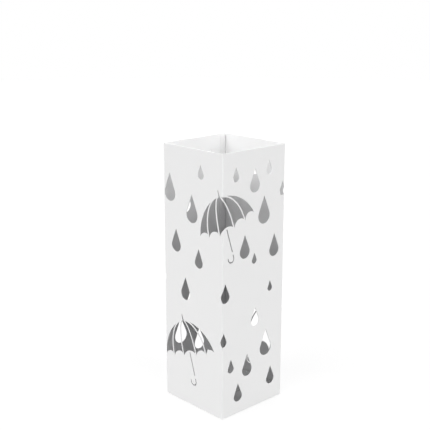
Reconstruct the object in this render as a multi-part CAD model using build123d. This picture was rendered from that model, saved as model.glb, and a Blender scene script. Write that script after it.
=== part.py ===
"""Square sheet-steel umbrella stand with umbrella and raindrop cut-outs, in millimetres.

The origin lies under the middle of the stand, on the floor, with +Z up. The -Y and +X walls are
the two that face the viewer, and their shared corner is the front corner.
"""
import os
from math import cos, radians

from build123d import *

# Stand
WIDTH = 155.0           # outside, both ways
HEIGHT = 490.0          # floor to rim
SHEET = 1.0             # steel sheet of the sleeve and the base pan
BEND = 2.0              # outer radius of every bend
FLOOR_GAP = 1.5         # from the floor to the lower edge of the sleeve

# Seam in the back corner
LAP = 12.0              # strip of the sheet that lies behind the next wall
LAP_SETBACK = 4.0       # from the rim and from the lower edge to the strip's ends
SEAM_WIDTH = 0.5        # line that the sheet's edge leaves outside
SEAM_DEPTH = 0.4

# Foot pads
PAD_RADIUS = 8.0
PAD_THICKNESS = 3.0
PAD_CHAMFER = 0.6
PAD_INSET = 18.0        # from the outside of a wall to the middle of a pad

# Base pan
TAB_HEIGHT = 14.0       # of the welded tabs, above the underside of the pan
TAB_CLEARANCE = 2.0     # from the end of a tab to the seam's strip

# Drip tray
TRAY_HEIGHT = 17.0
TRAY_WALL = 1.6
TRAY_CLEARANCE = 1.9    # between the tray's rim and what it is lifted past
TRAY_DRAFT = 4.0        # degrees
TRAY_CORNER = 14.0
TRAY_LIP = 2.2          # how far the rim stands out
TRAY_LIP_THICKNESS = 1.6
TRAY_RIBS = 4           # low bars across the tray's floor
TRAY_RIB_WIDTH = 2.0
TRAY_RIB_HEIGHT = 1.8
TRAY_RIB_MARGIN = 12.0  # from the ends of a bar to the tray's wall

# Raindrops: lengths from tip to bottom, and the radius of the round end as a share of the length
TINY, SMALL, MIDDLE, BIG, LARGE = 21.0, 26.5, 36.5, 43.5, 52.0
DROP_ROUNDNESS = 0.285

# Umbrella figure, drawn upright with its apex at the origin
LEAN = 17.4             # degrees that the figure leans over to the left
CANOPY_DEPTH = 63.0     # from the apex down to the two outer tips
CANOPY_RADIUS = 82.0    # of the outer arcs
MIDDLE_PANEL = 36.0     # widths of the five panels, from cusp to cusp
SIDE_PANEL = 28.0
OUTER_PANEL = 23.5
CUSP_HANG = 4.5         # how far the cusps between the panels hang below the outer tips
SCALLOP_RISE = 9.6
OUTER_RISE = 8.2        # rise of the scallops of the two outer panels
RIB_WIDTH = 2.4         # sheet left standing between two panels
RIB_SHIFT = 1.5         # ribs end this far to the left of their cusps
FINIAL_LENGTH = 11.0
FINIAL_ROOT = 4.0       # how far the finial reaches down into the middle panel
FINIAL_WIDTH = 3.6      # at its root
FINIAL_TIP = 1.8
LINE_WIDTH = 2.0        # cut width of the shaft and the handle
SHAFT_GAP = 3.8         # sheet left between the middle scallop and the shaft
SHAFT_LENGTH = 44.6
HANDLE_GAP = 6.0        # sheet left between the shaft and the handle
HANDLE_RADIUS = 6.5
HANDLE_LEG = 5.5
HANDLE_TIP = 4.5

# Figures on each wall, as shares of its width from the left and of its height from the floor, so
# that the pattern spreads with the walls. A drop is placed by its middle and an umbrella by its apex.
BACK_LEFT, FRONT_LEFT, FRONT_RIGHT, BACK_RIGHT = range(4)
DROPS = {
    BACK_LEFT: [
        (0.250, 0.919, SMALL), (0.558, 0.885, BIG), (0.787, 0.924, SMALL), (0.682, 0.769, LARGE),
        (0.166, 0.820, MIDDLE), (0.404, 0.752, MIDDLE), (0.280, 0.570, SMALL), (0.570, 0.600, MIDDLE),
        (0.181, 0.491, MIDDLE), (0.723, 0.469, TINY), (0.919, 0.508, LARGE), (0.568, 0.369, LARGE),
        (0.181, 0.314, SMALL), (0.184, 0.202, SMALL), (0.455, 0.183, BIG), (0.766, 0.245, LARGE),
        (0.852, 0.104, MIDDLE), (0.303, 0.086, MIDDLE),
    ],
    FRONT_LEFT: [
        (0.644, 0.920, SMALL), (0.104, 0.840, LARGE), (0.489, 0.778, LARGE),
        (0.208, 0.642, BIG), (0.603, 0.597, MIDDLE), (0.369, 0.464, BIG),
    ],
    FRONT_RIGHT: [
        (0.202, 0.919, SMALL), (0.506, 0.885, BIG), (0.735, 0.924, SMALL), (0.968, 0.835, SMALL),
        (0.662, 0.769, LARGE), (0.350, 0.647, BIG), (0.508, 0.594, TINY), (0.840, 0.625, BIG),
        (0.041, 0.491, MIDDLE), (0.779, 0.469, TINY), (0.531, 0.365, MIDDLE), (0.016, 0.314, SMALL),
        (0.133, 0.202, SMALL), (0.403, 0.183, BIG), (0.716, 0.247, LARGE), (0.807, 0.104, MIDDLE),
        (0.253, 0.086, MIDDLE),
    ],
    BACK_RIGHT: [
        (0.690, 0.907, SMALL), (0.155, 0.833, LARGE), (0.475, 0.900, MIDDLE), (0.880, 0.800, BIG),
        (0.297, 0.632, BIG), (0.470, 0.600, SMALL), (0.426, 0.450, BIG), (0.770, 0.435, MIDDLE),
    ],
}
UMBRELLAS = [
    (FRONT_LEFT, 0.316, 0.334),
    (FRONT_LEFT, 0.943, 0.848),
    (BACK_RIGHT, 0.355, 0.327),
]

# Worked out from the values above
HALF = WIDTH / 2
INSIDE = HALF - SHEET                               # middle of the stand to the inside of a wall
MITRE = BEND * (1 - cos(radians(45)))               # sharp corner to the middle of its bend, along a wall
WALL = WIDTH - 2 * MITRE                            # of a wall, from the middle of one bend to the next
PAN_TOP = PAD_THICKNESS + SHEET                     # the tray lies here
CORNER_CLEARANCE = BEND + LAP + TAB_CLEARANCE       # inside corner to the end of a tab
TRAY_HALF = INSIDE - SHEET - TRAY_CLEARANCE         # to the outside of the tray's rim
INNER_CUSP = MIDDLE_PANEL / 2                       # shaft to the inner pair of cusps
OUTER_CUSP = INNER_CUSP + SIDE_PANEL                # shaft to the outer pair of cusps
CANOPY_HALF = OUTER_CUSP + OUTER_PANEL              # shaft to the outer tips
CUSP_DEPTH = CANOPY_DEPTH + CUSP_HANG               # apex down to the cusps


def raindrop(length):
    """A drop with its tip up, about its own middle: a circle and the two tangents from the tip."""
    radius = DROP_ROUNDNESS * length
    centre = radius - length / 2
    tip = length / 2
    reach = tip - centre
    touch_up = radius * radius / reach
    touch_out = radius * (1 - (radius / reach) ** 2) ** 0.5
    left = (-touch_out, centre + touch_up)
    right = (touch_out, centre + touch_up)
    outline = [
        ThreePointArc(right, (0, centre - radius), left),
        Line(left, (0, tip)),
        Line((0, tip), right),
    ]
    return make_face(outline)


def canopy():
    """The scalloped canopy, cut in five panels by two pairs of uncut ribs."""
    edge = [(-CANOPY_HALF, -CANOPY_DEPTH)]
    edge += [(x, -CUSP_DEPTH) for x in (-OUTER_CUSP, -INNER_CUSP, INNER_CUSP, OUTER_CUSP)]
    edge += [(CANOPY_HALF, -CANOPY_DEPTH)]
    rises = (OUTER_RISE, SCALLOP_RISE, SCALLOP_RISE, SCALLOP_RISE, OUTER_RISE)
    outline = [SagittaArc(a, b, rise) for a, b, rise in zip(edge, edge[1:], rises)]
    outline += [RadiusArc(edge[-1], (0, 0), -CANOPY_RADIUS), RadiusArc((0, 0), edge[0], -CANOPY_RADIUS)]
    panels = make_face(outline)
    for reach in (INNER_CUSP, OUTER_CUSP):
        outer = Ellipse(reach + RIB_WIDTH / 2, CUSP_DEPTH + RIB_WIDTH / 2)
        inner = Ellipse(reach - RIB_WIDTH / 2, CUSP_DEPTH - RIB_WIDTH / 2)
        panels -= Pos(-RIB_SHIFT, -CUSP_DEPTH) * (outer - inner)
    return panels


def finial():
    """The tapered spike over the apex, open to the middle panel."""
    root, tip = FINIAL_WIDTH / 2, FINIAL_TIP / 2
    corners = [(-root, -FINIAL_ROOT), (root, -FINIAL_ROOT), (tip, FINIAL_LENGTH), (-tip, FINIAL_LENGTH)]
    return make_face(Polyline(*corners, close=True))


def shaft_and_handle():
    """The straight shaft and, after a bridge of sheet, the hooked handle."""
    top = SCALLOP_RISE - CUSP_DEPTH - SHAFT_GAP
    foot = top - SHAFT_LENGTH
    hook_top = foot - HANDLE_GAP
    hook_turn = hook_top - HANDLE_LEG
    far = -2 * HANDLE_RADIUS
    hook = Line((0, hook_top), (0, hook_turn))
    hook += ThreePointArc((0, hook_turn), (-HANDLE_RADIUS, hook_turn - HANDLE_RADIUS), (far, hook_turn))
    hook += Line((far, hook_turn), (far, hook_turn + HANDLE_TIP))
    shaft = Pos(0, (top + foot) / 2) * Rectangle(LINE_WIDTH, SHAFT_LENGTH)
    return [shaft, trace(hook, LINE_WIDTH)]


def umbrella():
    """All the cut-outs of one leaning umbrella."""
    figure = canopy() + finial()
    for piece in shaft_and_handle():
        figure += piece
    return Rot(0, 0, LEAN) * figure


def pattern():
    """Every cut-out on the unrolled sheet: X runs along it from the back corner, Y is the height."""
    drop = {length: raindrop(length) for length in (TINY, SMALL, MIDDLE, BIG, LARGE)}
    figure = umbrella()
    placed = []
    for wall, drops in DROPS.items():
        for across, up, length in drops:
            placed.append(Pos((wall + across) * WALL, up * HEIGHT) * drop[length])
    for wall, across, up in UMBRELLAS:
        placed.append(Pos((wall + across) * WALL, up * HEIGHT) * figure)
    return [face for cut in placed for face in cut.faces()]


def cut_wall(tube, wall, faces):
    """One wall of the tube, mitred through the middle of its two bends, with its cut-outs."""
    turn = Rot(0, 0, 90 * (wall - FRONT_LEFT))
    start = wall * WALL
    outer, inner = HALF + BEND, HALF - BEND
    corners = [(-outer, -outer), (outer, -outer), (inner, -inner), (-inner, -inner)]
    mitred = make_face(Polyline(*corners, close=True))
    outside = Plane(origin=(-HALF + MITRE, -outer, 0), x_dir=(1, 0, 0), z_dir=(0, -1, 0))
    cuts = []
    for face in faces:
        box = face.bounding_box()
        if box.max.X > start and box.min.X < start + WALL:
            cuts.append(turn * extrude(outside * Pos(-start, 0) * face, inner - outer))
    return (tube & turn * extrude(mitred, HEIGHT)) - cuts


def make_sleeve():
    """The folded sheet, lapped and welded in the back corner."""
    height = HEIGHT - FLOOR_GAP
    section = RectangleRounded(WIDTH, WIDTH, BEND)
    section -= RectangleRounded(2 * INSIDE, 2 * INSIDE, BEND - SHEET)
    tube = Pos(0, 0, FLOOR_GAP) * extrude(section, height)
    faces = pattern()
    sleeve = Part() + [cut_wall(tube, wall, faces) for wall in range(4)]

    lap = Box(SHEET, LAP, height - 2 * LAP_SETBACK, align=(Align.MIN, Align.MAX, Align.MIN))
    sleeve += Pos(-INSIDE, HALF - BEND, FLOOR_GAP + LAP_SETBACK) * lap
    seam = Box(SEAM_DEPTH, SEAM_WIDTH, height, align=(Align.MIN, Align.MAX, Align.MIN))
    return sleeve - Pos(-HALF, HALF - BEND, FLOOR_GAP) * seam


def make_base_pan():
    """The floor of the stand: a flat sheet with a tab bent up along each wall."""
    flat = INSIDE - BEND
    pan = Box(2 * flat, 2 * flat, SHEET, align=(Align.CENTER, Align.CENTER, Align.MIN))
    tab_length = 2 * (INSIDE - CORNER_CLEARANCE)
    bend = Pos(flat, BEND) * (Circle(BEND) - Circle(BEND - SHEET))
    bend &= Pos(flat, 0) * Rectangle(BEND, BEND, align=(Align.MIN, Align.MIN))
    upright = Pos(INSIDE, BEND) * Rectangle(SHEET, TAB_HEIGHT - BEND, align=(Align.MAX, Align.MIN))
    tab = extrude(Plane.XZ * (bend + upright), tab_length / 2, both=True)
    for turn in range(4):
        pan += Rot(0, 0, 90 * turn) * tab
    return Pos(0, 0, PAD_THICKNESS) * pan


def make_drip_tray():
    """The loose tray: drafted walls, a rim to lift it by and low bars that keep tips off its floor."""
    wall_half = TRAY_HALF - TRAY_LIP
    wall_top = RectangleRounded(2 * wall_half, 2 * wall_half, TRAY_CORNER - TRAY_LIP)
    inner_half = wall_half - TRAY_WALL
    inner_top = RectangleRounded(2 * inner_half, 2 * inner_half, TRAY_CORNER - TRAY_LIP - TRAY_WALL)
    rim = RectangleRounded(2 * TRAY_HALF, 2 * TRAY_HALF, TRAY_CORNER)

    tray = Pos(0, 0, TRAY_HEIGHT) * extrude(wall_top, -TRAY_HEIGHT, taper=TRAY_DRAFT)
    tray += Pos(0, 0, TRAY_HEIGHT) * extrude(rim, -TRAY_LIP_THICKNESS)
    hollow = extrude(inner_top, TRAY_WALL - TRAY_HEIGHT, taper=TRAY_DRAFT)
    tray -= Pos(0, 0, TRAY_HEIGHT) * hollow

    bar_length = 2 * (inner_half - TRAY_RIB_MARGIN)
    bar = Box(TRAY_RIB_WIDTH, bar_length, TRAY_RIB_HEIGHT, align=(Align.CENTER, Align.CENTER, Align.MIN))
    spacing = bar_length / (TRAY_RIBS - 1)
    for place in GridLocations(spacing, 0, TRAY_RIBS, 1):
        tray += place * Pos(0, 0, TRAY_WALL) * bar
    return Pos(0, 0, PAN_TOP) * tray


def make_foot_pad(x, y):
    """One round rubber pad with its lower edge broken."""
    pad = extrude(Circle(PAD_RADIUS), PAD_THICKNESS)
    lower_edge = pad.edges().sort_by(Axis.Z)[0]
    return Pos(x, y, 0) * chamfer(lower_edge, PAD_CHAMFER)


def main():
    pad_place = HALF - PAD_INSET
    nodes = {
        "sleeve": make_sleeve(),
        "base_pan": make_base_pan(),
        "drip_tray": make_drip_tray(),
        "foot_pad_front_left": make_foot_pad(-pad_place, -pad_place),
        "foot_pad_front_right": make_foot_pad(pad_place, -pad_place),
        "foot_pad_back_left": make_foot_pad(-pad_place, pad_place),
        "foot_pad_back_right": make_foot_pad(pad_place, pad_place),
    }
    os.makedirs("parts", exist_ok=True)
    for name, solid in nodes.items():
        export_step(solid, f"parts/{name}.step")


main()
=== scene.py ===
"""Umbrella stand of folded, cut-out sheet steel: its finishes, small details and studio.

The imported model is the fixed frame. Lengths are in metres, in the model's own frame, with +Z up. The
-Y and +X walls face the viewer, and the seam of the sheet is in the corner behind them.
"""

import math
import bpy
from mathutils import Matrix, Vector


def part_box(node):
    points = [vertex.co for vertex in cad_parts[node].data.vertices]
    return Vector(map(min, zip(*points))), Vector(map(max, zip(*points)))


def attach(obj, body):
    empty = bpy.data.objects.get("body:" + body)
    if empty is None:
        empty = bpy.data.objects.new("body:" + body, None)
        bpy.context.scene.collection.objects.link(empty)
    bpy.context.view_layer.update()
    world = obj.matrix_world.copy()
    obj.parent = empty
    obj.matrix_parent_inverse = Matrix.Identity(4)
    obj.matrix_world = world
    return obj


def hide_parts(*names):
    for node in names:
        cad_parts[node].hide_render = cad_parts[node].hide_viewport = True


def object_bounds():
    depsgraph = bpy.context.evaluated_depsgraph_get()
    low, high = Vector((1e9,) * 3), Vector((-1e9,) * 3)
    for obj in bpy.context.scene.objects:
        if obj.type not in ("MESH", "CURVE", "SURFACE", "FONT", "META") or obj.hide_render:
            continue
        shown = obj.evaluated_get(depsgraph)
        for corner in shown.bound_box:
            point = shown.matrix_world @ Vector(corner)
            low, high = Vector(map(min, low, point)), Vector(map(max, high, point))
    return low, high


bl_info = {
    "name": "Umbrella stand",
    "version": (1, 0, 0),
    "blender": (4, 5, 0),
    "location": "3D View > Sidebar > Stand",
    "description": "Finishes, welds, foot pads and studio of a cut-out umbrella stand",
    "category": "Object",
}

import bmesh
import bpy
from bpy.props import FloatProperty, FloatVectorProperty, IntProperty, PointerProperty
from mathutils import Matrix, Vector

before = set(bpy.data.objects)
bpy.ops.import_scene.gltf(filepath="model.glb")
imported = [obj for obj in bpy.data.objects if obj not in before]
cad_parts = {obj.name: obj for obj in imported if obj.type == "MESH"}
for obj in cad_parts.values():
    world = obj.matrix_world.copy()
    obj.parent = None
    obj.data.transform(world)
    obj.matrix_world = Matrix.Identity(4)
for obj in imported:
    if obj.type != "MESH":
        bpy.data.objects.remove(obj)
CAD_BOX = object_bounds()

# Pieces of the frame
SLEEVE_LOW, SLEEVE_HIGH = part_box("sleeve")
PAN_LOW, PAN_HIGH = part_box("base_pan")
PAD_LOW, PAD_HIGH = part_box("foot_pad_front_right")
PADS = ("foot_pad_front_left", "foot_pad_front_right", "foot_pad_back_left", "foot_pad_back_right")

# Folded sheet
SHEET = SLEEVE_HIGH.x - PAN_HIGH.x      # thickness of the steel sheet
BEND = 0.002                            # outer radius of the bends
LAP = 0.012                             # width of the seam's strip behind the next wall

# Rounded edges
HARD_ANGLE = math.radians(35)           # edges sharper than this are rounded
FLAT_ANGLE = math.radians(0.3)          # triangles that lie flatter than this are one face
MERGE = 4e-5                            # points of a mesh that lie closer than this are one
TIGHT_RADIUS = 0.75 * BEND              # the tight inside of a bend lies this near to its axis
TIGHT_MARGIN = 0.3 * BEND               # and reaches this far along the walls beside it

# Spot welds and foot pads
WELD_MARGIN = 0.02                      # room left beyond each end of a row of welds
WELD_SEGMENTS, WELD_RINGS = 20, 8       # faces round and up the flattened ball of a weld
PAD_STEPS = 64                          # faces round a pad
GROOVE_SLOPE = 0.2                      # half the run of a groove's side, as a share of its width

# Finishes: size and depth of the broad waves, and depth of the fine grain
SLEEVE_WAVE = (0.09, 0.0002)
PAN_WAVE = (0.06, 0.0001)
TRAY_WAVE = (0.05, 0.0001)
RUBBER_WAVE = (0.006, 0.00005)
GRAIN_DEPTH = 0.00002

# Finishes: how far the roughness strays, how strongly edges show and how much lighter pale places are
COAT_STRAY, TRAY_STRAY, RUBBER_STRAY = 0.04, 0.05, 0.06
SLEEVE_EDGES, PAN_EDGES, TRAY_EDGES = 0.25, 0.4, 0.8
TRAY_PALER, RUBBER_PALER = 1.06, 1.5

# Finishes: depths in the sheet between which one face's coat goes over to the other's
FACE_DEPTH, BACK_DEPTH = 0.2 * SHEET, 0.8 * SHEET

# Finishes: heights between which painted shade darkens the inside of the sleeve, standing partly for a
# thinner coat there
INSIDE_SHADE_FROM, INSIDE_SHADE_TO = 0.96 * SLEEVE_HIGH.z, 0.7 * SLEEVE_HIGH.z

# Finishes: grain and edges
GRAIN_SIZES = ("Grain Size", "Grain Depth", "Wave Size", "Wave Depth")
NOISE_LOW, NOISE_HIGH = 0.3, 0.7        # most of the noise lies between these
EDGE_LEAST = 0.5                        # share of its mark that an uneven edge keeps everywhere

# Studio
FLOOR_GAP = 0.0001                      # the floor lies this far under the pads
FLOOR_SIDES = 96                        # sides of the round floor
FLOOR_WHITE, FLOOR_ROUGHNESS = 0.95, 0.9
FLOOR_GLOW = 0.8                        # share of plain white in what is seen of the floor
LAMP_WIDTH = math.radians(60)           # angle that a soft light fills
LAMPS = {                               # azimuth and elevation of each light, in degrees
    "left_light": (-6, 36),
    "right_light": (96, 30),
    "back_light": (226, 20),
}
SENSOR_WIDTH = 36.0                     # of the camera, in millimetres


class StandFinish(bpy.types.PropertyGroup):
    """Colours and surfaces of the coat, the tray and the pads"""
    coat_colour: FloatVectorProperty(
        name="Coat", description="White of the powder coat", subtype="COLOR", size=4,
        default=(0.86, 0.86, 0.86, 1.0), min=0.0, max=1.0)
    # Painted shade: this grey stands in for the shade deep inside the sleeve and on the pan, partly for a
    # thinner coat there; the drawn-back cut edges take it too
    shade_and_thin_coat_colour: FloatVectorProperty(
        name="Thin coat", description="Coat deep inside the sleeve, where little powder lands",
        subtype="COLOR", size=4, default=(0.62, 0.62, 0.625, 1.0), min=0.0, max=1.0)
    coat_roughness: FloatProperty(
        name="Coat roughness", description="Satin of the powder coat", subtype="FACTOR",
        default=0.42, min=0.0, max=1.0)
    peel_size: FloatProperty(
        name="Peel size", description="Width of the small waves in the powder coat", subtype="DISTANCE",
        unit="LENGTH", default=0.0015, min=0.0002, max=0.01)
    peel_depth: FloatProperty(
        name="Peel depth", description="Depth of the small waves in the powder coat", subtype="DISTANCE",
        unit="LENGTH", default=0.000012, min=0.0, max=0.001)
    tray_colour: FloatVectorProperty(
        name="Tray", description="Plastic of the drip tray", subtype="COLOR", size=4,
        default=(0.6, 0.6, 0.605, 1.0), min=0.0, max=1.0)
    tray_roughness: FloatProperty(
        name="Tray roughness", description="Sheen of the moulded plastic", subtype="FACTOR",
        default=0.5, min=0.0, max=1.0)
    tray_grain: FloatProperty(
        name="Tray grain", description="Size of the moulded grain", subtype="DISTANCE", unit="LENGTH",
        default=0.0006, min=0.0001, max=0.01)
    pad_colour: FloatVectorProperty(
        name="Pads", description="Rubber of the foot pads", subtype="COLOR", size=4,
        default=(0.06, 0.06, 0.065, 1.0), min=0.0, max=1.0)
    pad_roughness: FloatProperty(
        name="Pad roughness", description="Dullness of the rubber", subtype="FACTOR",
        default=0.85, min=0.0, max=1.0)
    pad_grain: FloatProperty(
        name="Pad grain", description="Size of the grain in the rubber", subtype="DISTANCE", unit="LENGTH",
        default=0.0004, min=0.0001, max=0.01)


class StandDetails(bpy.types.PropertyGroup):
    """Sizes of the softened edges, the welds and the foot pads"""
    sheet_edge: FloatProperty(
        name="Sheet edge", description="Radius that the coat gives to the edges of the sheet",
        subtype="DISTANCE", unit="LENGTH", default=0.00012, min=0.00005, max=0.0002)
    tray_edge: FloatProperty(
        name="Tray edge", description="Radius of the moulded edges of the tray", subtype="DISTANCE",
        unit="LENGTH", default=0.00045, min=0.0001, max=0.0007)
    weld_radius: FloatProperty(
        name="Weld radius", description="Radius of a spot weld", subtype="DISTANCE", unit="LENGTH",
        default=0.0026, min=0.0005, max=0.005)
    weld_rise: FloatProperty(
        name="Weld rise", description="How far a spot weld stands out of the sheet", subtype="DISTANCE",
        unit="LENGTH", default=0.0003, min=0.0, max=0.001)
    weld_spacing: FloatProperty(
        name="Weld spacing", description="Distance between spot welds in a row", subtype="DISTANCE",
        unit="LENGTH", default=0.03, min=0.008, max=0.1)
    pad_chamfer: FloatProperty(
        name="Pad chamfer", description="Broken lower edge of a pad", subtype="DISTANCE", unit="LENGTH",
        default=0.0006, min=0.0, max=0.0015)
    pad_rings: IntProperty(
        name="Pad rings", description="Grooves turned into the face of a pad", default=3, min=1, max=6)
    ring_depth: FloatProperty(
        name="Ring depth", description="Depth of those grooves", subtype="DISTANCE", unit="LENGTH",
        default=0.0005, min=0.0, max=0.0012)


class StandStudio(bpy.types.PropertyGroup):
    """Floor, light and camera"""
    floor_radius: FloatProperty(
        name="Floor radius", description="Radius of the round floor", subtype="DISTANCE", unit="LENGTH",
        default=6.0, min=1.0, max=20.0)
    floor_bounce: FloatProperty(
        name="Floor bounce", description="Share of the light that the floor throws back", subtype="FACTOR",
        default=0.3, min=0.0, max=1.0)
    ambient: FloatProperty(
        name="Ambient", description="Strength of the light from all round", default=0.15, min=0.0, max=2.0)
    left_light: FloatProperty(
        name="Left light", description="Strength of the soft light on the left wall",
        default=2.5, min=0.0, max=10.0)
    right_light: FloatProperty(
        name="Right light", description="Strength of the soft light on the right wall",
        default=2.2, min=0.0, max=10.0)
    back_light: FloatProperty(
        name="Back light", description="Strength of the soft light on the back walls",
        default=2.5, min=0.0, max=10.0)
    camera_place: FloatVectorProperty(
        name="Camera place", description="Where the camera stands", subtype="TRANSLATION", unit="LENGTH",
        size=3, default=(1.1284, -1.0816, 0.7627))
    camera_azimuth: FloatProperty(
        name="Azimuth", description="Turn of the camera about the upright axis", subtype="ANGLE",
        unit="ROTATION", default=math.radians(46.82))
    camera_elevation: FloatProperty(
        name="Elevation", description="How far the camera looks down", subtype="ANGLE", unit="ROTATION",
        default=math.radians(14.57))
    camera_lens: FloatProperty(
        name="Lens", description="Focal length on a sensor 36 mm wide", subtype="DISTANCE_CAMERA",
        unit="CAMERA", default=73.74, min=10.0, max=300.0)


def add_node(tree, kind, values=None, **settings):
    """A new node with its settings made and the given inputs filled in."""
    made = tree.nodes.new(kind)
    for name, value in settings.items():
        setattr(made, name, value)
    for key, value in (values or {}).items():
        made.inputs[key].default_value = value
    return made


def join(tree, *pairs):
    """Links each output to the input beside it."""
    for output, target in pairs:
        tree.links.new(output, target)


def calculate(tree, operation, *values, **settings):
    """The result of a Math node. Each value is a number or the output of another node."""
    made = add_node(tree, "ShaderNodeMath", operation=operation, **settings)
    for target, value in zip(made.inputs, values):
        if isinstance(value, bpy.types.NodeSocket):
            tree.links.new(value, target)
        else:
            target.default_value = value
    return made.outputs["Value"]


def ramp(tree, value, start, stop, least=0.0, most=1.0, **settings):
    """A value that goes from the least at the start to the most at the stop, and is held beyond them."""
    made = add_node(tree, "ShaderNodeMapRange", {
        "From Min": start, "From Max": stop, "To Min": least, "To Max": most}, **settings)
    tree.links.new(value, made.inputs["Value"])
    return made.outputs["Result"]


def new_group(name, kind, inputs, outputs):
    """An empty node group with its named sockets, and the nodes that stand for its two ends."""
    tree = bpy.data.node_groups.new(name, kind)
    for label, socket in inputs:
        tree.interface.new_socket(label, in_out="INPUT", socket_type=socket)
    for label, socket in outputs:
        tree.interface.new_socket(label, in_out="OUTPUT", socket_type=socket)
    return tree, tree.nodes.new("NodeGroupInput"), tree.nodes.new("NodeGroupOutput")


def surface_grain():
    """Shader group: fine grain over broad, shallow waves, and a mottle that follows the waves."""
    if "Surface grain" in bpy.data.node_groups:
        return bpy.data.node_groups["Surface grain"]
    tree, start, end = new_group(
        "Surface grain", "ShaderNodeTree",
        [("Vector", "NodeSocketVector")] + [(size, "NodeSocketFloat") for size in GRAIN_SIZES],
        [("Height", "NodeSocketFloat"), ("Mottle", "NodeSocketFloat")])
    heights = []
    for label, detail in (("Grain", 2.0), ("Wave", 1.0)):
        noise = add_node(tree, "ShaderNodeTexNoise", {"Detail": detail})
        scale = calculate(tree, "DIVIDE", 1.0, start.outputs[label + " Size"])
        join(tree, (start.outputs["Vector"], noise.inputs["Vector"]), (scale, noise.inputs["Scale"]))
        mottle = noise.outputs["Fac"]
        heights.append(calculate(tree, "MULTIPLY", mottle, start.outputs[label + " Depth"]))
    height = calculate(tree, "ADD", *heights)
    join(tree, (height, end.inputs["Height"]), (mottle, end.inputs["Mottle"]))
    return tree


def edge_mask():
    """Shader group: how far the finish has drawn back from a rounded edge, a little uneven along it."""
    if "Drawn edge" in bpy.data.node_groups:
        return bpy.data.node_groups["Drawn edge"]
    tree, start, end = new_group(
        "Drawn edge", "ShaderNodeTree",
        [("Edge", "NodeSocketFloat"), ("Mottle", "NodeSocketFloat"), ("Amount", "NodeSocketFloat")],
        [("Mask", "NodeSocketFloat")])
    uneven = ramp(tree, start.outputs["Mottle"], NOISE_LOW, NOISE_HIGH, least=EDGE_LEAST)
    marked = calculate(tree, "MULTIPLY", start.outputs["Edge"], uneven)
    mask = calculate(tree, "MULTIPLY", marked, start.outputs["Amount"], use_clamp=True)
    join(tree, (mask, end.inputs["Mask"]))
    return tree


def coordinates(tree):
    """Places on the piece, in metres."""
    return add_node(tree, "ShaderNodeTexCoord").outputs["Object"]


def pan_shade_mask(tree):
    """Painted shade mask of the pan: nodes that rise from 0 under its floor to 1 above it, where it lies
    deep inside the sleeve.
    """
    apart = add_node(tree, "ShaderNodeSeparateXYZ")
    join(tree, (coordinates(tree), apart.inputs["Vector"]))
    return ramp(tree, apart.outputs["Z"], PAN_LOW.z + FACE_DEPTH, PAN_LOW.z + BACK_DEPTH)


def inside_shade_mask(tree):
    """Painted shade mask: nodes that rise from 0 on the outside and at the rim to 1 deep inside the
    sleeve.
    """
    apart = add_node(tree, "ShaderNodeSeparateXYZ")
    join(tree, (coordinates(tree), apart.inputs["Vector"]))
    across, along = (calculate(tree, "ABSOLUTE", apart.outputs[axis]) for axis in "XY")
    reach = calculate(tree, "MAXIMUM", across, along)
    within = ramp(tree, reach, SLEEVE_HIGH.x - FACE_DEPTH, SLEEVE_HIGH.x - BACK_DEPTH)
    deep = ramp(tree, apart.outputs["Z"], INSIDE_SHADE_FROM, INSIDE_SHADE_TO, interpolation_type="SMOOTHSTEP")
    return calculate(tree, "MULTIPLY", within, deep)


def surface(name, colour, roughness, stray, grain, wave):
    """A new material with grain and uneven gloss, and the node of its grain."""
    made = bpy.data.materials.new(name)
    made.use_nodes = True
    tree = made.node_tree
    shader = tree.nodes["Principled BSDF"]
    shader.inputs["Base Color"].default_value = colour
    texture = add_node(
        tree, "ShaderNodeGroup", dict(zip(GRAIN_SIZES, (*grain, *wave))), node_tree=surface_grain())
    bump = add_node(tree, "ShaderNodeBump", {"Strength": 1.0, "Distance": 1.0})
    gloss = ramp(
        tree, texture.outputs["Mottle"], NOISE_LOW, NOISE_HIGH, roughness - stray, roughness + stray)
    join(
        tree,
        (coordinates(tree), texture.inputs["Vector"]),
        (texture.outputs["Height"], bump.inputs["Height"]),
        (bump.outputs["Normal"], shader.inputs["Normal"]),
        (gloss, shader.inputs["Roughness"]),
    )
    return made, texture


def drawn_edges(tree, texture, amount):
    """The mask of the rounded edges, from the attribute that marks them."""
    marked = add_node(tree, "ShaderNodeAttribute", attribute_name="edge")
    mask = add_node(tree, "ShaderNodeGroup", {"Amount": amount}, node_tree=edge_mask())
    join(
        tree,
        (marked.outputs["Fac"], mask.inputs["Edge"]),
        (texture.outputs["Mottle"], mask.inputs["Mottle"]),
    )
    return mask.outputs["Mask"]


def two_colours(tree, mask, first, second):
    """Makes the base colour of a material go over from one colour to another under a mask."""
    mix = add_node(tree, "ShaderNodeMix", {"A": first, "B": second}, data_type="RGBA")
    base = tree.nodes["Principled BSDF"].inputs["Base Color"]
    join(tree, (mask, mix.inputs["Factor"]), (mix.outputs["Result"], base))


def paler(colour, times):
    """A colour made lighter by a factor."""
    return [min(1.0, times * value) for value in colour]


def grey(level):
    """A colour with no hue."""
    return (level, level, level, 1.0)


def powder_coat(name, finish, painted_shade, edges, wave):
    """Satin powder coat: even outside, greyed with painted shade deep inside, partly a thinner coat there,
    and drawn back at the cut edges.
    """
    if name in bpy.data.materials:
        return bpy.data.materials[name]
    peel = (finish.peel_size, finish.peel_depth)
    made, texture = surface(name, finish.coat_colour, finish.coat_roughness, COAT_STRAY, peel, wave)
    tree = made.node_tree
    # Painted shade deep inside, together with the coat drawn back at the cut edges, turns the coat grey
    shade_and_edge_mask = calculate(tree, "MAXIMUM", painted_shade(tree), drawn_edges(tree, texture, edges))
    two_colours(tree, shade_and_edge_mask, finish.coat_colour, finish.shade_and_thin_coat_colour)
    return made


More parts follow.
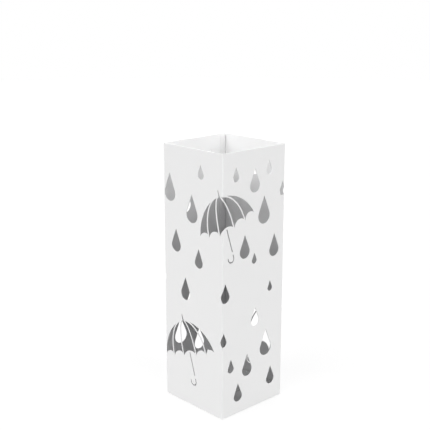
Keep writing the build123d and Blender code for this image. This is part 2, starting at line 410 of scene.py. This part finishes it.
def sleeve_coat(finish):
    """The coat of the sleeve and of the welds in it."""
    return powder_coat("sleeve_coat", finish, inside_shade_mask, SLEEVE_EDGES, SLEEVE_WAVE)


def pan_coat(finish):
    """The coat of the base pan, even underneath and grey above with painted shade, as it lies deep inside
    the sleeve.
    """
    # Painted shade: all of the pan above its underside takes the grey of the deep inside
    return powder_coat("pan_coat", finish, pan_shade_mask, PAN_EDGES, PAN_WAVE)


def tray_plastic(finish):
    """Moulded plastic with a fine spark grain, rubbed a little paler at its edges."""
    grain = (finish.tray_grain, GRAIN_DEPTH)
    made, texture = surface(
        "tray_plastic", finish.tray_colour, finish.tray_roughness, TRAY_STRAY, grain, TRAY_WAVE)
    mask = drawn_edges(made.node_tree, texture, TRAY_EDGES)
    two_colours(made.node_tree, mask, finish.tray_colour, paler(finish.tray_colour, TRAY_PALER))
    return made


def pad_rubber(finish):
    """Matt dark rubber with a fine grain and a faint mottle."""
    grain = (finish.pad_grain, GRAIN_DEPTH)
    made, texture = surface(
        "pad_rubber", finish.pad_colour, finish.pad_roughness, RUBBER_STRAY, grain, RUBBER_WAVE)
    mask = texture.outputs["Mottle"]
    two_colours(made.node_tree, mask, finish.pad_colour, paler(finish.pad_colour, RUBBER_PALER))
    return made


def show(name, mesh, material):
    """A new piece at the origin with its finish on it."""
    mesh.materials.clear()
    mesh.materials.append(material)
    piece = bpy.data.objects.new(name, mesh)
    bpy.context.scene.collection.objects.link(piece)
    return piece


def cut_edge(edge):
    """Whether an edge of the sheet is rounded: it stands out, and isn't on the tight inside of a bend."""
    middle = (edge.verts[0].co + edge.verts[1].co) / 2
    axis = SLEEVE_HIGH.x - BEND
    out = Vector((abs(middle.x) - axis, abs(middle.y) - axis))
    return edge.is_convex and not (min(out) > -TIGHT_MARGIN and out.length < TIGHT_RADIUS)


def sleeve_edge(edge):
    """A cut edge of the sleeve, but not one that runs from the seam's strip into the wall behind it."""
    middle = (edge.verts[0].co + edge.verts[1].co) / 2
    run = edge.verts[1].co - edge.verts[0].co
    on_strip = max(abs(middle.x), abs(middle.y)) < SLEEVE_HIGH.x - SHEET - MERGE
    return cut_edge(edge) and not (on_strip and abs(run.x) > abs(run.y) + abs(run.z))


def moulded_edge(edge):
    """Every edge of a moulding is rounded."""
    return True


def softened(name, node, radius, is_rounded, material):
    """A copy of a CAD node with its hard edges rounded and marked by the attribute named edge."""
    solid = bmesh.new()
    solid.from_mesh(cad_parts[node].data)
    bmesh.ops.remove_doubles(solid, verts=solid.verts, dist=MERGE)
    bmesh.ops.dissolve_limit(solid, angle_limit=FLAT_ANGLE, verts=solid.verts, edges=solid.edges)
    mark = solid.faces.layers.float.new("edge")
    hard = [edge for edge in solid.edges if edge.calc_face_angle() > HARD_ANGLE and is_rounded(edge)]
    if not hard:
        raise RuntimeError(f"{node} has no hard edges to round")
    rounded = bmesh.ops.bevel(
        solid, geom=hard, offset=radius, offset_type="OFFSET", segments=2, profile=0.5,
        affect="EDGES", clamp_overlap=False)
    for face in rounded["faces"]:
        face[mark] = 1.0
    low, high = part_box(node)
    for vert in solid.verts:
        vert.co = [min(max(value, least), most) for value, least, most in zip(vert.co, low, high)]
    mesh = bpy.data.meshes.new(name)
    solid.to_mesh(mesh)
    solid.free()
    mesh.shade_smooth()
    piece = show(name, mesh, material)
    piece.modifiers.new("Weighted normals", "WEIGHTED_NORMAL").weight = 100
    return piece


def run_nodes(name, mesh, tree, values):
    """Puts a mesh through geometry nodes with their inputs set, and gives the result as a plain mesh."""
    source = bpy.data.objects.new(name + "_source", mesh)
    bpy.context.scene.collection.objects.link(source)
    nodes = source.modifiers.new(name, "NODES")
    nodes.node_group = tree
    for item in tree.interface.items_tree:
        if item.in_out == "INPUT" and item.name in values:
            nodes[item.identifier] = values[item.name]
    graph = bpy.context.evaluated_depsgraph_get()
    made = bpy.data.meshes.new_from_object(source.evaluated_get(graph))
    if not made.polygons:
        raise RuntimeError(f"{name} came out empty")
    made.name = name
    bpy.data.objects.remove(source)
    return made


def weld_nodes():
    """Geometry nodes: a row of low round welds along every edge, each standing on its facing vector."""
    tree, start, end = new_group(
        "Weld rows", "GeometryNodeTree",
        [("Geometry", "NodeSocketGeometry"), ("Radius", "NodeSocketFloat"), ("Rise", "NodeSocketFloat"),
         ("Spacing", "NodeSocketFloat"), ("Material", "NodeSocketMaterial")],
        [("Geometry", "NodeSocketGeometry")])
    line = add_node(tree, "GeometryNodeMeshToCurve")
    spaced = add_node(tree, "GeometryNodeResampleCurve", mode="LENGTH")
    ball = add_node(tree, "GeometryNodeMeshUVSphere", {
        "Segments": WELD_SEGMENTS, "Rings": WELD_RINGS, "Radius": 1.0})
    size = add_node(tree, "ShaderNodeCombineXYZ")
    facing = add_node(
        tree, "GeometryNodeInputNamedAttribute", {"Name": "facing"}, data_type="FLOAT_VECTOR")
    turn = add_node(tree, "FunctionNodeAlignRotationToVector", axis="Z")
    placed = add_node(tree, "GeometryNodeInstanceOnPoints")
    real = add_node(tree, "GeometryNodeRealizeInstances")
    smooth = add_node(tree, "GeometryNodeSetShadeSmooth")
    coat = add_node(tree, "GeometryNodeSetMaterial")
    join(
        tree,
        (start.outputs["Geometry"], line.inputs["Mesh"]),
        (line.outputs["Curve"], spaced.inputs["Curve"]),
        (start.outputs["Spacing"], spaced.inputs["Length"]),
        (spaced.outputs["Curve"], placed.inputs["Points"]),
        (ball.outputs["Mesh"], placed.inputs["Instance"]),
        (start.outputs["Radius"], size.inputs["X"]),
        (start.outputs["Radius"], size.inputs["Y"]),
        (start.outputs["Rise"], size.inputs["Z"]),
        (size.outputs["Vector"], placed.inputs["Scale"]),
        (facing.outputs["Attribute"], turn.inputs["Vector"]),
        (turn.outputs["Rotation"], placed.inputs["Rotation"]),
        (placed.outputs["Instances"], real.inputs["Geometry"]),
        (real.outputs["Geometry"], smooth.inputs["Geometry"]),
        (smooth.outputs["Geometry"], coat.inputs["Geometry"]),
        (start.outputs["Material"], coat.inputs["Material"]),
        (coat.outputs["Geometry"], end.inputs["Geometry"]),
    )
    return tree


def weld_rows():
    """Edges that the rows of welds follow: down the seam's strip and along the four tabs of the pan."""
    inner = SLEEVE_HIGH.x - 2 * SHEET
    seam = SLEEVE_HIGH.y - BEND - LAP / 2
    foot = Vector((-inner, seam, SLEEVE_LOW.z + WELD_MARGIN))
    rim = Vector((-inner, seam, SLEEVE_HIGH.z - WELD_MARGIN))
    rows = [(foot, rim, Vector((1.0, 0.0, 0.0)))]
    height = (PAN_LOW.z + BEND + PAN_HIGH.z) / 2
    half = PAN_HIGH.x - BEND - LAP - WELD_MARGIN
    for x, y in ((-1.0, 0.0), (1.0, 0.0), (0.0, -1.0), (0.0, 1.0)):
        middle = Vector((-inner * x, -inner * y, height))
        side = half * Vector((-y, x, 0.0))
        rows.append((middle - side, middle + side, Vector((x, y, 0.0))))
    mesh = bpy.data.meshes.new("weld_rows")
    ends = [point for row in rows for point in row[:2]]
    mesh.from_pydata(ends, [(i, i + 1) for i in range(0, len(ends), 2)], [])
    facings = mesh.attributes.new("facing", "FLOAT_VECTOR", "POINT")
    for index, row in enumerate(rows):
        facings.data[2 * index].vector = row[2]
        facings.data[2 * index + 1].vector = row[2]
    return mesh


def pad_nodes():
    """Geometry nodes: four copies of a pad at the corners of a square."""
    tree, start, end = new_group(
        "Four pads", "GeometryNodeTree",
        [("Geometry", "NodeSocketGeometry"), ("Spacing", "NodeSocketFloat"),
         ("Material", "NodeSocketMaterial")],
        [("Geometry", "NodeSocketGeometry")])
    corners = add_node(tree, "GeometryNodeMeshGrid", {"Vertices X": 2, "Vertices Y": 2})
    placed = add_node(tree, "GeometryNodeInstanceOnPoints")
    real = add_node(tree, "GeometryNodeRealizeInstances")
    rubber = add_node(tree, "GeometryNodeSetMaterial")
    join(
        tree,
        (start.outputs["Spacing"], corners.inputs["Size X"]),
        (start.outputs["Spacing"], corners.inputs["Size Y"]),
        (corners.outputs["Mesh"], placed.inputs["Points"]),
        (start.outputs["Geometry"], placed.inputs["Instance"]),
        (placed.outputs["Instances"], real.inputs["Geometry"]),
        (real.outputs["Geometry"], rubber.inputs["Geometry"]),
        (start.outputs["Material"], rubber.inputs["Material"]),
        (rubber.outputs["Geometry"], end.inputs["Geometry"]),
    )
    return tree


def turned_pad(details):
    """One pad about the Z axis, with its lower edge broken and rings turned into its face."""
    radius = (PAD_HIGH.x - PAD_LOW.x) / 2
    top = PAD_HIGH.z
    face = radius - details.pad_chamfer
    step = face / (2 * details.pad_rings + 1)
    slope = GROOVE_SLOPE * step
    profile = [(0.0, 0.0)]
    for ring in range(details.pad_rings):
        inner = (2 * ring + 1) * step
        profile += [
            (inner - slope, 0.0), (inner + slope, details.ring_depth),
            (inner + step - slope, details.ring_depth), (inner + step + slope, 0.0),
        ]
    profile += [(face, 0.0), (radius, details.pad_chamfer), (radius, top), (0.0, top)]
    pad = bmesh.new()
    verts = [pad.verts.new((x, 0.0, z)) for x, z in profile]
    edges = [pad.edges.new(pair) for pair in zip(verts, verts[1:])]
    bmesh.ops.spin(
        pad, geom=verts + edges, cent=(0.0, 0.0, 0.0), axis=(0.0, 0.0, 1.0), angle=2 * math.pi,
        steps=PAD_STEPS)
    bmesh.ops.remove_doubles(pad, verts=pad.verts, dist=MERGE)
    bmesh.ops.recalc_face_normals(pad, faces=pad.faces)
    mesh = bpy.data.meshes.new("turned_pad")
    pad.to_mesh(mesh)
    pad.free()
    mesh.shade_smooth()
    mesh.set_sharp_from_angle(angle=HARD_ANGLE)
    return mesh


class STAND_OT_sleeve(bpy.types.Operator):
    """The folded sleeve, with its cut edges rounded by the coat"""
    bl_idname = "stand.sleeve"
    bl_label = "Sleeve"

    def execute(self, context):
        coat = sleeve_coat(context.scene.stand_finish)
        radius = context.scene.stand_details.sheet_edge
        piece = softened("coated_sleeve", "sleeve", radius, sleeve_edge, coat)
        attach(piece, "stand")
        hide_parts("sleeve")
        return {"FINISHED"}


class STAND_OT_base_pan(bpy.types.Operator):
    """The base pan, with its edges rounded by the coat"""
    bl_idname = "stand.base_pan"
    bl_label = "Base pan"

    def execute(self, context):
        coat = pan_coat(context.scene.stand_finish)
        radius = context.scene.stand_details.sheet_edge
        piece = softened("coated_pan", "base_pan", radius, cut_edge, coat)
        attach(piece, "stand")
        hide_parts("base_pan")
        return {"FINISHED"}


class STAND_OT_welds(bpy.types.Operator):
    """Spot welds down the seam and along the tabs of the base pan"""
    bl_idname = "stand.welds"
    bl_label = "Spot welds"

    def execute(self, context):
        coat = sleeve_coat(context.scene.stand_finish)
        details = context.scene.stand_details
        mesh = run_nodes("spot_welds", weld_rows(), weld_nodes(), {
            "Radius": details.weld_radius, "Rise": details.weld_rise, "Spacing": details.weld_spacing,
            "Material": coat})
        piece = show("spot_welds", mesh, coat)
        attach(piece, "stand")
        return {"FINISHED"}


class STAND_OT_drip_tray(bpy.types.Operator):
    """The moulded drip tray, with soft edges"""
    bl_idname = "stand.drip_tray"
    bl_label = "Drip tray"

    def execute(self, context):
        plastic = tray_plastic(context.scene.stand_finish)
        radius = context.scene.stand_details.tray_edge
        piece = softened("moulded_tray", "drip_tray", radius, moulded_edge, plastic)
        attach(piece, "tray")
        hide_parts("drip_tray")
        return {"FINISHED"}


class STAND_OT_foot_pads(bpy.types.Operator):
    """The four rubber pads, with rings turned into their faces"""
    bl_idname = "stand.foot_pads"
    bl_label = "Foot pads"

    def execute(self, context):
        rubber = pad_rubber(context.scene.stand_finish)
        mesh = run_nodes("foot_pads", turned_pad(context.scene.stand_details), pad_nodes(), {
            "Spacing": PAD_LOW.x + PAD_HIGH.x, "Material": rubber})
        piece = show("foot_pads", mesh, rubber)
        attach(piece, "stand")
        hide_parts(*PADS)
        return {"FINISHED"}


class STAND_OT_studio(bpy.types.Operator):
    """White floor, soft light from three sides and the camera"""
    bl_idname = "stand.studio"
    bl_label = "Studio"

    def execute(self, context):
        scene, studio = context.scene, context.scene.stand_studio
        self.make_floor(studio)
        self.make_world(scene, studio)
        for name, (azimuth, elevation) in LAMPS.items():
            self.make_light(scene, name, azimuth, elevation, getattr(studio, name))
        self.make_camera(scene, studio)
        scene.view_settings.view_transform = "Standard"
        return {"FINISHED"}

    def seen(self, tree):
        """1 for rays that show the background: from the camera, off gloss or through glass."""
        path = add_node(tree, "ShaderNodeLightPath").outputs
        direct = calculate(tree, "MAXIMUM", path["Is Camera Ray"], path["Is Glossy Ray"])
        return calculate(tree, "MAXIMUM", direct, path["Is Transmission Ray"])

    def make_floor(self, studio):
        """A round floor that looks white, takes the shadow and throws little light back."""
        disc = bmesh.new()
        bmesh.ops.create_circle(
            disc, cap_ends=True, segments=FLOOR_SIDES, radius=studio.floor_radius,
            matrix=Matrix.Translation((0.0, 0.0, CAD_BOX[0].z - FLOOR_GAP)))
        mesh = bpy.data.meshes.new("studio_floor")
        disc.to_mesh(mesh)
        disc.free()
        white = bpy.data.materials.new("floor_white")
        white.use_nodes = True
        tree = white.node_tree
        shader = tree.nodes["Principled BSDF"]
        shader.inputs["Roughness"].default_value = FLOOR_ROUGHNESS
        shader.inputs["Specular IOR Level"].default_value = 0.0
        seen = self.seen(tree)
        two_colours(tree, seen, grey(studio.floor_bounce), grey(FLOOR_WHITE))
        glow = add_node(tree, "ShaderNodeEmission", {"Color": grey(1.0), "Strength": 1.0})
        mix = add_node(tree, "ShaderNodeMixShader")
        join(
            tree,
            (calculate(tree, "MULTIPLY", seen, FLOOR_GLOW), mix.inputs["Fac"]),
            (shader.outputs["BSDF"], mix.inputs[1]),
            (glow.outputs["Emission"], mix.inputs[2]),
            (mix.outputs["Shader"], tree.nodes["Material Output"].inputs["Surface"]),
        )
        show("studio_floor", mesh, white)

    def make_world(self, scene, studio):
        """A background that looks white and lights the stand a little from all round."""
        scene.world = bpy.data.worlds.new("studio_world")
        scene.world.use_nodes = True
        tree = scene.world.node_tree
        sky = tree.nodes["Background"]
        sky.inputs["Color"].default_value = grey(1.0)
        level = ramp(tree, self.seen(tree), 0.0, 1.0, least=studio.ambient)
        join(tree, (level, sky.inputs["Strength"]))

    def make_light(self, scene, name, azimuth, elevation, strength):
        """A wide, soft light from one side."""
        light = bpy.data.lights.new(name, "SUN")
        light.energy = strength
        light.angle = LAMP_WIDTH
        lamp = bpy.data.objects.new(name, light)
        lamp.rotation_euler = (math.radians(90 - elevation), 0.0, math.radians(azimuth))
        scene.collection.objects.link(lamp)

    def make_camera(self, scene, studio):
        """The camera, fitted to the corners of the stand."""
        camera = bpy.data.cameras.new("photo_camera")
        camera.sensor_width = SENSOR_WIDTH
        camera.lens = studio.camera_lens
        camera.clip_start = 0.05
        eye = bpy.data.objects.new("photo_camera", camera)
        eye.location = studio.camera_place
        eye.rotation_euler = (math.pi / 2 - studio.camera_elevation, 0.0, studio.camera_azimuth)
        scene.collection.objects.link(eye)
        scene.camera = eye


class STAND_PT_panel(bpy.types.Panel):
    """Sizes and steps of the umbrella stand"""
    bl_idname = "STAND_PT_panel"
    bl_label = "Umbrella stand"
    bl_space_type = "VIEW_3D"
    bl_region_type = "UI"
    bl_category = "Stand"

    def draw(self, context):
        for name, group in GROUPS.items():
            box = self.layout.box()
            for size in group.__annotations__:
                box.prop(getattr(context.scene, name), size)
        for step in STEPS:
            self.layout.operator(step.bl_idname)


GROUPS = {"stand_finish": StandFinish, "stand_details": StandDetails, "stand_studio": StandStudio}
STEPS = (
    STAND_OT_sleeve, STAND_OT_base_pan, STAND_OT_welds, STAND_OT_drip_tray, STAND_OT_foot_pads,
    STAND_OT_studio)
CLASSES = (*GROUPS.values(), *STEPS, STAND_PT_panel)


def register():
    """Makes the classes known and gives every scene their settings."""
    for kind in CLASSES:
        bpy.utils.register_class(kind)
    for name, group in GROUPS.items():
        setattr(bpy.types.Scene, name, PointerProperty(type=group))


def unregister():
    """Takes the settings and the classes away again."""
    for name in GROUPS:
        delattr(bpy.types.Scene, name)
    for kind in reversed(CLASSES):
        bpy.utils.unregister_class(kind)


def main():
    """Builds the stand and its studio."""
    register()
    bpy.ops.stand.sleeve()
    bpy.ops.stand.base_pan()
    bpy.ops.stand.welds()
    bpy.ops.stand.drip_tray()
    bpy.ops.stand.foot_pads()
    bpy.ops.stand.studio()


if __name__ == "__main__":
    main()
